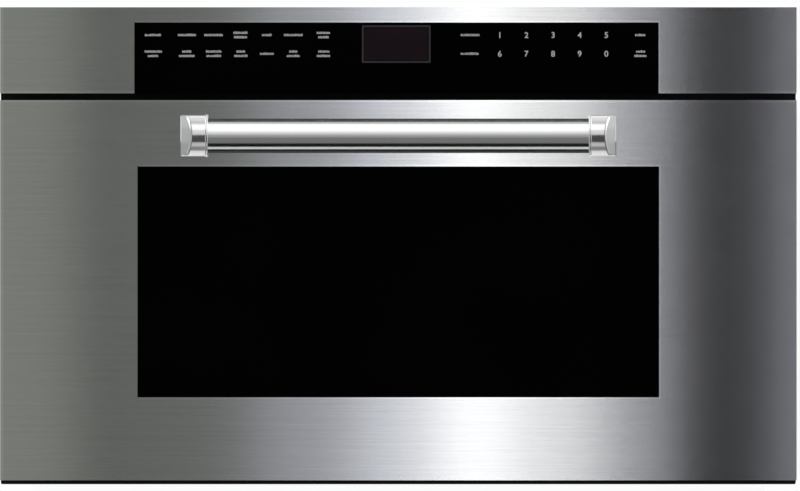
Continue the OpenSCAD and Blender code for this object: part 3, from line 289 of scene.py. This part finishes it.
# Perforated door screen, holes in staggered rows
screen = Surface("door_screen", metal=0.2, rough=0.45)
t = screen.tree
axes = add(t, "ShaderNodeSeparateXYZ", {0: scaled(t, screen.place, (450.0, 0.0, 390.0))}).outputs
row = maths(t, "FLOOR", axes[2])
shift = maths(t, "MULTIPLY", maths(t, "FLOORED_MODULO", row, 2.0), 0.5)
u = maths(t, "SUBTRACT", maths(t, "FRACT", maths(t, "ADD", axes[0], shift)), 0.5)
v = maths(t, "MULTIPLY", maths(t, "SUBTRACT", maths(t, "FRACT", axes[2]), 0.5), 1.15)
r = maths(t, "SQRT", maths(t, "ADD", maths(t, "MULTIPLY", u, u), maths(t, "MULTIPLY", v, v)))
hole = smooth(t, r, 0.36, 0.30)
screen.set("Base Color", mix(t, hole, rgb(0.09, 0.09, 0.092), rgb(0.002)))
screen.set("Roughness", span(t, hole, 0.0, 1.0, 0.42, 0.9))
screen.bump(hole, 0.5, -0.0004)

# Green circuit board with copper lines under the lacquer
board = Surface("circuit_board", rough=0.35)
t = board.tree
lines = add(t, "ShaderNodeTexBrick", {"Vector": board.place,
                                      "Scale": 90.0, "Mortar Size": 0.05,
                                      "Color1": rgb(0.015, 0.13, 0.05),
                                      "Color2": rgb(0.02, 0.16, 0.06),
                                      "Mortar": rgb(0.05, 0.26, 0.10)})
board.set("Base Color", mix(t, noise(t, board.place, 120.0), lines.outputs["Color"],
                            rgb(0.012, 0.11, 0.045)))
board.bump(lines.outputs["Fac"], 0.2, 0.0002)

# Glass-fibre blanket
fibre = Surface("fibre", rough=0.95, Sheen_Weight=0.3)
t = fibre.tree
strands = noise(t, scaled(t, fibre.place, (120.0, 700.0, 120.0)), 1.0, 6.0, 0.7)
fibre.set("Base Color", mix(t, strands, rgb(0.72, 0.68, 0.55), rgb(0.86, 0.83, 0.72)))
fibre.bump(strands, 0.8, 0.003)


def clear(name, tint, rough):
    """Clear glass with faint ripples and smears."""
    s = Surface(name, rough=rough, Transmission_Weight=1.0, IOR=1.5)
    s.set("Base Color", mix(s.tree, noise(s.tree, s.place, 14.0), tint, rgb(0.97, 0.985, 0.98)))
    s.set("Roughness", span(s.tree, noise(s.tree, s.place, 35.0, 4.0), 0.3, 0.8, rough,
                            rough + 0.05))
    s.bump(noise(s.tree, s.place, 60.0, 1.0), 0.02, 0.0004)
    return s


clear_glass = clear("clear_glass", rgb(0.90, 0.95, 0.93), 0.02)
lamp_glass = clear("lamp_glass", rgb(0.97, 0.96, 0.92), 0.04)

legend = cast("legend_print", rgb(0.50, 0.50, 0.50), 0.0, 0.6, spread=0.05, scale=900.0,
              bump=0.0)
display_rim = cast("display_rim", rgb(0.036, 0.036, 0.038), 0.0, 0.4, spread=0.08,
                   scale=700.0, bump=0.0)
display_dark = cast("display_dark", rgb(0.0135, 0.0074, 0.0105), 0.0, 0.18, spread=0.12,
                    scale=40.0, bump=0.0)

FINISH = {
    door_steel: ["door_skin", "fascia_skin"],
    bar_steel: ["handle_bar"],
    cap_chrome: ["handle_cap_left", "handle_cap_right"],
    black_glass: ["door_glass", "control_glass"],
    black_steel: ["front_frame", "door_frame"],
    door_enamel: ["door_panel"],
    galvanised: ["case_base", "case_cover", "rear_cover", "convection_housing", "waveguide",
                 "lamp_housing", "hinge_plates", "hinge_channels", "latch_brackets",
                 "door_choke", "magnetron", "convection_motor", "turntable_motor",
                 "blower_motor"],
    cavity_enamel: ["cavity"],
    screen: ["door_screen"],
    board: ["touch_board", "control_board", "noise_filter"],
    fibre: ["insulation"],
    clear_glass: ["turntable", "door_inner_glass"],
    lamp_glass: ["lamp_bulb"],
    mica: ["waveguide_cover"],
    heater_steel: ["heater_element"],
    core_steel: ["hv_transformer"],
    light_alloy: ["convection_fan", "hv_capacitor"],
    screw_steel: ["case_screws", "handle_screws", "hinge_pins", "fan_shaft"],
    spring_steel: ["hinge_springs"],
    black_plastic: ["blower_housing", "blower_wheel", "cord_bush", "fascia_carrier",
                    "choke_cover", "latch_prongs", "interlock_switches", "display_module"],
    pale_plastic: ["roller_ring", "roller_1", "roller_2", "roller_3", "drive_coupler",
                   "switch_plunger_1", "switch_plunger_2", "switch_plunger_3"],
    foot_rubber: ["feet"],
}
for surface, names in FINISH.items():
    for name in names:
        slots = nodes[name].data.materials
        if not len(slots):
            slots.append(surface.mat)
        for i in range(len(slots)):
            slots[i] = surface.mat

# ---------------------------------------------------------------- softened edges

for name, width in (("door_skin", 0.00058), ("fascia_skin", 0.00058),
                    ("choke_cover", 0.0008), ("door_panel", 0.0003)):
    edge = nodes[name].modifiers.new("edge", "BEVEL")
    edge.width = width
    edge.segments = 2
    edge.limit_method = "ANGLE"
    edge.angle_limit = math.radians(40.0)

# ---------------------------------------------------------------- end caps

# Radius of the crowned front and of its corners, and how far the straight sides stand out
CAP_CROWN, CAP_CORNER, CAP_OUT = 0.026, 0.008, 0.048
# Width and height of the bead at the inner end, and the outer facet's slant
BEAD, RISE, SLANT = 0.0026, 0.0008, 0.5
ARC_STEPS, BEAD_STEPS = 14, 11
RIM, FACET_RIM, FACET_BACK = 0.4, 0.7, 1.0       # shares of the rounding, edge by edge
ROUNDING = 0.003
CAP_GAP = 0.0001         # from the door to a cap's back


def cap_profile(half):
    """Points and normals, in depth and height, round a cap from the door and back to it."""
    lift = half - CAP_CORNER
    crown_d = CAP_CROWN - half - CAP_OUT
    corner_d = crown_d - math.sqrt((CAP_CROWN - CAP_CORNER) ** 2 - lift ** 2)
    turn = math.asin(lift / (CAP_CROWN - CAP_CORNER))
    upper = [(0.0, half, 0.0, 1.0), (-CAP_OUT / 2, half, 0.0, 1.0), (-CAP_OUT, half, 0.0, 1.0)]
    for k in range(ARC_STEPS + 1):
        a = math.pi / 2 + (turn - math.pi / 2) * k / ARC_STEPS
        upper.append((corner_d - CAP_CORNER * math.cos(a), lift + CAP_CORNER * math.sin(a),
                      -math.cos(a), math.sin(a)))
    for k in range(1, ARC_STEPS + 1):
        a = turn * (1 - k / ARC_STEPS)
        upper.append((crown_d - CAP_CROWN * math.cos(a), CAP_CROWN * math.sin(a),
                      -math.cos(a), math.sin(a)))
    return upper + [(d, -z, nd, -nz) for d, z, nd, nz in reversed(upper[:-1])]


def make_cap(hand, side):
    """An end cap with a rounded bead at its inner end and a slanted outer facet."""
    node = "handle_cap_" + hand
    low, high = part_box(node)
    inner, outer = (low.x, high.x) if side > 0 else (-high.x, -low.x)
    axis = (low.z + high.z) / 2
    profile = cap_profile((high.z - low.z) / 2 - RISE)
    mesh = bpy.data.meshes.new("cap_" + hand)
    obj = bpy.data.objects.new(mesh.name, mesh)
    scene.collection.objects.link(obj)
    bm = bmesh.new()
    weight = bm.edges.layers.float.new("bevel_weight_edge")
    rings = []
    for k in range(BEAD_STEPS + 1):
        a = math.pi * k / BEAD_STEPS
        rings.append([(inner + BEAD / 2 * (1 - math.cos(a)), d + nd * RISE * math.sin(a),
                       z + nz * RISE * math.sin(a)) for d, z, nd, nz in profile])
    rings.append([(outer - SLANT * max(0.0, -CAP_OUT - d), d, z) for d, z, nd, nz in profile])
    loops = [[bm.verts.new((side * x, FRONT + min(d, -CAP_GAP), axis + z)) for x, d, z in ring]
             for ring in rings]
    for a, b in zip(loops, loops[1:]):
        for k in range(len(profile) - 1):
            bm.faces.new((a[k], a[k + 1], b[k + 1], b[k]))
    last, n = loops[-1], len(profile)
    bm.faces.new(loops[0])
    facet = bm.faces.new(last[2:n - 2])
    flank = bm.faces.new([last[k] for k in (n - 3, n - 2, n - 1, 0, 1, 2)])
    for edge in flank.edges:
        edge[weight] = RIM
    for edge in facet.edges:
        edge[weight] = FACET_BACK if edge in flank.edges[:] else FACET_RIM
    bmesh.ops.recalc_face_normals(bm, faces=bm.faces)
    for face in bm.faces:
        face.smooth = True
    bm.to_mesh(mesh)
    bm.free()
    mesh.materials.append(cap_chrome.mat)
    edge = obj.modifiers.new("edge", "BEVEL")
    edge.width = ROUNDING
    edge.segments = 5
    edge.limit_method = "WEIGHT"
    obj.modifiers.new("normals", "WEIGHTED_NORMAL")
    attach(obj, "door")
    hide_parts(node)
    return obj


caps = [make_cap("left", -1), make_cap("right", 1)]

# ---------------------------------------------------------------- printed panel

glass_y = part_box("control_glass")[0].y
PRINT = 0.00004          # the print's thickness


def on_glass(name, mesh, surface):
    """Makes a mesh a piece of the control panel."""
    mesh.materials.clear()
    mesh.materials.append(surface.mat)
    obj = bpy.data.objects.new(name, mesh)
    scene.collection.objects.link(obj)
    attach(obj, "case")


def print_tiles(name, bm, surface):
    """Makes a piece of the control panel of these tiles."""
    mesh = bpy.data.meshes.new(name)
    bm.to_mesh(mesh)
    bm.free()
    on_glass(name, mesh, surface)


def tile(bm, x0, x1, z0, z1, r=0.0, thick=PRINT):
    """A thin plate with rounded corners on the glass."""
    r = min(r, (x1 - x0) / 2, (z1 - z0) / 2)
    ring = []
    for cx, cz, a0 in ((x1 - r, z1 - r, 0), (x0 + r, z1 - r, 90), (x0 + r, z0 + r, 180),
                       (x1 - r, z0 + r, 270)):
        for k in range(4):
            a = math.radians(a0 + k * 30)
            ring.append((cx + r * math.cos(a), cz + r * math.sin(a)))
    front = [bm.verts.new((x, glass_y - thick, z)) for x, z in ring]
    back = [bm.verts.new((x, glass_y, z)) for x, z in ring]
    bm.faces.new(front)
    n = len(ring)
    for k in range(n):
        bm.faces.new((front[k], back[k], back[(k + 1) % n], front[(k + 1) % n]))


ROWS = (35.0, 53.7)      # the two rows of keys, in pixels
LINE_DROP = 2.2          # from a key's middle to each of its two lines, in pixels
MARK_W, MARK_GAP = (0.0006, 0.0012), 0.0005
MARK_H, MARK_LOW = (0.0018, 0.0021, 0.0021, 0.0024), 0.00105

# Each key's mark is one line or two, each a row of small blocks: the key's place and the
# lines' widths, in pixels
WORDS = [
    (153.4, 35.0, [17.0]), (187.3, 35.0, [18.7]), (214.1, 35.0, [19.4]),
    (240.8, 35.0, [14.7, 13.5]), (266.9, 35.0, [9.6]), (293.7, 35.0, [19.4]),
    (323.8, 35.0, [14.0, 11.0]),
    (153.4, 53.7, [17.4, 11.0]), (187.3, 53.7, [10.0, 16.5]), (214.1, 53.7, [16.0, 15.0]),
    (240.8, 53.7, [8.5, 13.0]), (266.9, 53.7, [13.7]), (293.7, 53.7, [9.0, 13.7]),
    (323.8, 53.7, [11.0, 14.0]),
    (470.1, 35.0, [18.6]), (470.1, 53.7, [18.6]),
    (640.7, 35.0, [11.0]), (640.7, 53.7, [9.0, 12.5]),
]
draw = random.Random(7)
bm = bmesh.new()
for cx, cy, lines_px in WORDS:
    for k, width in enumerate(lines_px):
        y = cy if len(lines_px) == 1 else cy + (-LINE_DROP if k == 0 else LINE_DROP)
        xc, zc = px(cx, y)
        total = width * PX
        x = xc - total / 2
        while x < xc + total / 2 - MARK_W[0]:
            w = draw.uniform(*MARK_W)
            w = min(w, xc + total / 2 - x)
            h = draw.choice(MARK_H)
            tile(bm, x, x + w, zc - MARK_LOW, zc - MARK_LOW + h, 0.0002)
            x += w + MARK_GAP
print_tiles("key_marks", bm, legend)

DIGITS_X = (499.85, 526.5, 553.1, 579.65, 606.3)
for k, digit in enumerate("1234567890"):
    xc, zc = px(DIGITS_X[k % 5], ROWS[k // 5])
    curve = bpy.data.curves.new("digit", "FONT")
    curve.body = digit
    curve.size = 0.0078
    curve.offset = 0.0001
    text = bpy.data.objects.new("digit", curve)
    scene.collection.objects.link(text)
    bpy.context.view_layer.update()
    flat = bpy.data.meshes.new_from_object(
        text.evaluated_get(bpy.context.evaluated_depsgraph_get()))
    bpy.data.objects.remove(text)
    xs = [v.co.x for v in flat.vertices]
    ys = [v.co.y for v in flat.vertices]
    mx, my = (min(xs) + max(xs)) / 2, (min(ys) + max(ys)) / 2
    for v in flat.vertices:
        v.co = (xc + v.co.x - mx, glass_y - PRINT, zc + v.co.y - my)
    flat.name = "key_digit_" + digit
    on_glass(flat.name, flat, legend)

# Display window: a thin grey rim round a dark lens
x0, z1 = px(361.9, 25.3)
x1, z0 = px(430.6, 62.8)
bm = bmesh.new()
rim_w, lap = 0.0017, 0.0004
for z in (z1 - rim_w, z0):
    tile(bm, x0, x1, z, z + rim_w, 0.0006)
for x in (x0, x1 - rim_w):
    tile(bm, x, x + rim_w, z0 + lap, z1 - lap, 0.0001, 0.00005)
print_tiles("display_rim", bm, display_rim)
bm = bmesh.new()
gap = rim_w + 0.0006
tile(bm, x0 + gap, x1 - gap, z0 + gap, z1 - gap, 0.0008)
print_tiles("display_lens", bm, display_dark)

# ---------------------------------------------------------------- stage


def white_for_camera(name, keep, front_keep=0.06):
    """Pale surface that the camera sees as near white, with a share of its shading kept:
    little on faces that look to the front, more on the others."""
    m = bpy.data.materials.new(name)
    m.use_nodes = True
    tree = m.node_tree
    tree.nodes.clear()
    coords = add(tree, "ShaderNodeTexCoord")
    pale = add(tree, "ShaderNodeBsdfDiffuse",
               {"Color": mix(tree, noise(tree, coords.outputs["Object"], 6.0),
                             rgb(0.86), rgb(0.90))})
    glow = add(tree, "ShaderNodeEmission", {"Color": rgb(1.0), "Strength": 1.0})
    path = add(tree, "ShaderNodeLightPath").outputs
    seen = maths(tree, "ADD", maths(tree, "ADD", path["Is Camera Ray"], path["Is Glossy Ray"]),
                 path["Is Transmission Ray"], clamp=True)
    axes = add(tree, "ShaderNodeSeparateXYZ", {0: coords.outputs["Normal"]}).outputs
    kept = span(tree, axes[1], -0.9, -0.4, front_keep, keep)
    bare = maths(tree, "MULTIPLY", seen, maths(tree, "SUBTRACT", 1.0, kept))
    blend = add(tree, "ShaderNodeMixShader", {0: bare, 1: pale.outputs[0], 2: glow.outputs[0]})
    out = add(tree, "ShaderNodeOutputMaterial", {0: blend.outputs[0]})
    return m, tree, blend, out


# The floor lies under a low plinth, and fades out towards its rim
FLOOR_DROP = 0.12
bm = bmesh.new()
bmesh.ops.create_circle(bm, cap_ends=True, segments=96, radius=2.4)
mesh = bpy.data.meshes.new("floor")
bm.to_mesh(mesh)
bm.free()
floor = bpy.data.objects.new("floor", mesh)
scene.collection.objects.link(floor)
floor.location = (0, 0, -FLOOR_DROP)
pale, tree, blend, out = white_for_camera("floor_pale", 0.6)
where = add(tree, "ShaderNodeTexCoord").outputs["Object"]
reach = add(tree, "ShaderNodeVectorMath", {0: where}, operation="LENGTH").outputs["Value"]
clear_rim = add(tree, "ShaderNodeBsdfTransparent", {0: rgb(1.0)})
fade = add(tree, "ShaderNodeMixShader", {0: smooth(tree, reach, 1.0, 2.3),
                                         1: blend.outputs[0], 2: clear_rim.outputs[0]})
tree.links.new(fade.outputs[0], out.inputs[0])
mesh.materials.append(pale)
floor.visible_glossy = False


def block(name, low, high, material):
    """A box that carries the object, and isn't part of it."""
    mesh = bpy.data.meshes.new(name)
    bm = bmesh.new()
    bmesh.ops.create_cube(bm, size=1.0)
    for v in bm.verts:
        v.co = [a + (b - a) * (c + 0.5) for a, b, c in zip(low, high, v.co)]
    bm.to_mesh(mesh)
    bm.free()
    obj = bpy.data.objects.new(name, mesh)
    scene.collection.objects.link(obj)
    mesh.materials.append(material)
    obj.visible_glossy = False
    return obj


plinth = block("plinth", (-0.35, -0.18, -FLOOR_DROP - 0.0003), (0.35, 0.31, -0.0003),
               white_for_camera("plinth_pale", 0.8)[0])

# Painted shadow: a thin near-black strip under the front frame stands in for the shadow along the
# line where the object stands
contact_shadow_dark = cast("contact_shadow_dark", rgb(0.002, 0.002, 0.002), 0.0, 0.9, spread=0.3, scale=300.0)
block("contact_shadow_strip", (-0.379, FRONT + 0.0445, -0.00093), (0.379, FRONT + 0.054, -0.00005), contact_shadow_dark.mat)

# ---------------------------------------------------------------- light

world = bpy.data.worlds.new("studio")
scene.world = world
world.use_nodes = True
world.cycles.sampling_method = "NONE"
tree = world.node_tree
tree.nodes.clear()

# The camera sees white, matt faces get a soft sky, and mirrors see a pale room at the sides and
# behind, but darkness in front, above and below
way = add(tree, "ShaderNodeTexCoord").outputs["Generated"]
axes = add(tree, "ShaderNodeSeparateXYZ", {0: way}).outputs
ahead = smooth(tree, axes[1], 0.75, 0.5)
middle = smooth(tree, maths(tree, "ABSOLUTE", axes[0]), 0.62, 0.30)
dark = maths(tree, "MULTIPLY", ahead, middle)
overhead = smooth(tree, axes[2], 0.80, 0.97)
room = span(tree, noise(tree, way, 1.3, 1.0), 0.35, 0.65, 0.42, 0.95)
room = maths(tree, "MULTIPLY", room, span(tree, axes[2], -0.7, 0.7, 0.5, 1.0))
gloss = mix(tree, dark, room, mix(tree, overhead, rgb(0.006), rgb(0.09)))
soft = mix(tree, smooth(tree, axes[2], -0.9, 0.9), rgb(0.45), rgb(0.85))
path = add(tree, "ShaderNodeLightPath").outputs
mirrored = maths(tree, "ADD", path["Is Glossy Ray"], path["Is Transmission Ray"], clamp=True)
lit = mix(tree, mirrored, soft, gloss)
final = mix(tree, path["Is Camera Ray"], lit, rgb(1.0))
back = add(tree, "ShaderNodeBackground", {0: final, 1: 1.0})
add(tree, "ShaderNodeOutputWorld", {0: back.outputs[0]})


def receivers(name, objects):
    c = bpy.data.collections.new(name)
    for o in objects:
        c.objects.link(o)
    return c


for_steel = receivers("lit_by_strips", [nodes["door_skin"], nodes["fascia_skin"]])
for_bar = receivers("lit_by_bar_boxes", [nodes["handle_bar"]])
for_caps = receivers("lit_by_cap_boxes", caps)


def softbox(name, centre, aim, size, radiance, who):
    """A rectangular lamp whose face has this radiance, and which lights these objects alone."""
    data = bpy.data.lights.new(name, "AREA")
    data.shape = "RECTANGLE"
    data.size, data.size_y = size
    data.energy = radiance * math.pi * size[0] * size[1]
    lamp = bpy.data.objects.new(name, data)
    scene.collection.objects.link(lamp)
    lamp.location = centre
    lamp.rotation_euler = (Vector(aim) - Vector(centre)).to_track_quat("-Z", "Y").to_euler()
    lamp.visible_camera = False
    lamp.light_linking.receiver_collection = who
    return data


# A row of upright flats in front, which the steel alone mirrors as its upright bands:
# the place of each left edge, the width, the distance, the radiance and the tint
WARM = (0.95, 1.0, 0.90)
PLAIN = (1.0, 1.0, 1.0)
COOL = (0.96, 0.98, 1.06)
FLAT_TALL = 2.4
FLATS = [
    (-0.620, 0.311, 0.75, 0.300, WARM),
    (-0.290, 0.150, 0.75, 0.172, WARM),
    (-0.140, 0.100, 0.75, 0.44, COOL),
    (-0.040, 0.075, 0.75, 0.96, COOL),
    (0.038, 0.072, 0.75, 1.90, PLAIN),
    (0.111, 0.040, 0.75, 1.15, PLAIN),
    (0.152, 0.042, 0.75, 1.34, PLAIN),
    (0.190, 0.080, 0.53, 0.38, COOL),
    (0.385, 0.022, 0.75, 0.91, COOL),
]
for k, (left, w, away, level, tint) in enumerate(FLATS):
    x = left + w / 2
    flat = softbox(f"flat_{k}", (x, FRONT - away, MIDDLE), (x, FRONT, MIDDLE), (w, FLAT_TALL),
                   level, for_steel)
    flat.color = tint

# Boxes that the handle alone mirrors, named by their elevation seen from the bar
BAR = Vector((0.0, FRONT - CAP_OUT, sum(c.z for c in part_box("handle_bar")) / 2))
BOX_AWAY, BOX_WIDE = 1.2, 0.9
ON_DOOR = 0.0005         # how far the thin lamps stand off the door


def arc_box(name, low, high, radiance, who):
    """A box seen from the bar between two elevations."""
    mid = math.radians((low + high) / 2)
    centre = BAR + Vector((0, -math.cos(mid), math.sin(mid))) * BOX_AWAY
    tall = 2 * BOX_AWAY * math.tan(math.radians((high - low) / 2))
    softbox(name, centre, BAR, (BOX_WIDE, tall), radiance, who)


def door_box(name, x, low, high, wide, radiance, who):
    """A thin lamp that lies on the door, between two heights measured from the bar."""
    centre = Vector((x, FRONT - ON_DOOR, BAR.z + (low + high) / 2))
    softbox(name, centre, centre - Vector((0, 1, 0)), (wide, high - low), radiance, who)


for part, low, high, level, who in (
        ("bar_crown", 84, 104, 0.55, for_bar), ("bar_top", 30, 84, 1.30, for_bar),
        ("bar_front_1", 18, 30, 0.97, for_bar), ("bar_front_2", 6, 18, 0.66, for_bar),
        ("bar_front_3", -10, 6, 0.38, for_bar), ("bar_front_4", -52, -10, 0.20, for_bar),
        ("bar_under", -112, -81, 0.80, for_bar),
        ("cap_high", 66, 150, 0.78, for_caps), ("cap_shoulder", 50, 66, 0.62, for_caps),
        ("cap_upper", 24, 50, 1.25, for_caps), ("cap_mid", 4, 24, 0.78, for_caps),
        ("cap_face", -28, 4, 0.06, for_caps), ("cap_low", -46, -28, 0.60, for_caps),
        ("cap_fill", -66, -46, 0.24, for_caps), ("cap_under", -150, -66, 0.85, for_caps)):
    arc_box(part, low, high, level, who)

# Lamps on each side, and thin ones that lie on the door behind the caps and the bar, draw light
# lines along rounded edges; those beyond the caps show in their outer facets
for side in (-1, 1):
    softbox("cap_side", (side * 1.4, BAR.y - 0.15, BAR.z + 1.05), BAR, (1.6, 1.5), 1.05, for_caps)
    for low, high, level in ((-0.005, 0.405, 0.45), (-0.405, -0.035, 0.8)):
        door_box("cap_halo", side * 0.194, low, high, 0.12, level, for_caps)
    for low, high, level in ((0.008, 0.2, 0.30), (-0.006, 0.008, 0.17), (-0.2, -0.006, 0.08)):
        door_box("cap_facet", side * 0.29, low, high, 0.066, level, for_caps)
door_box("bar_halo", 0.0, -0.11, 0.11, 0.42, 0.055, for_bar)

# The door's steel shows no image of its handle
for obj in (nodes["handle_bar"], caps[0], caps[1]):
    obj.visible_glossy = False

# Lamps round the case, near enough to shade its large plain faces from end to end
front_parts = {"door_skin", "fascia_skin", "door_glass", "control_glass", "handle_bar",
               "front_frame"}
for_case = receivers("lit_by_case_boxes",
                     [nodes[n] for n in nodes if n not in front_parts] + [floor, plinth])
softbox("case_top", (-0.7, 0.7, 1.5), (-0.1, 0.15, 0.44), (1.0, 0.7), 1.7, for_case)
softbox("case_above", (-0.3, 0.4, 2.2), (0.0, 0.1, 0.44), (1.5, 1.2), 0.9, for_case)
softbox("case_left", (-1.5, 0.5, 0.9), (-0.35, 0.1, 0.25), (0.6, 1.0), 2.1, for_case)
softbox("case_right", (1.5, 0.5, 0.9), (0.35, 0.1, 0.25), (0.6, 1.0), 2.1, for_case)
softbox("case_back", (0.5, 1.7, 0.9), (0.1, 0.38, 0.2), (1.0, 0.7), 2.2, for_case)

# A lamp behind the front's plane, so that it lights the steel's upper faces and not the front
softbox("steel_top", (0, FRONT + 0.66, 1.9), (0, FRONT + 0.66, 0.45), (1.8, 1.2), 0.45,
        for_steel)

# Soft key from the upper left, which gives the floor its shadow
softbox("key", (-2.6, -2.0, 2.6), (0, 0, 0.2), (1.2, 1.2), 12.0, for_case)
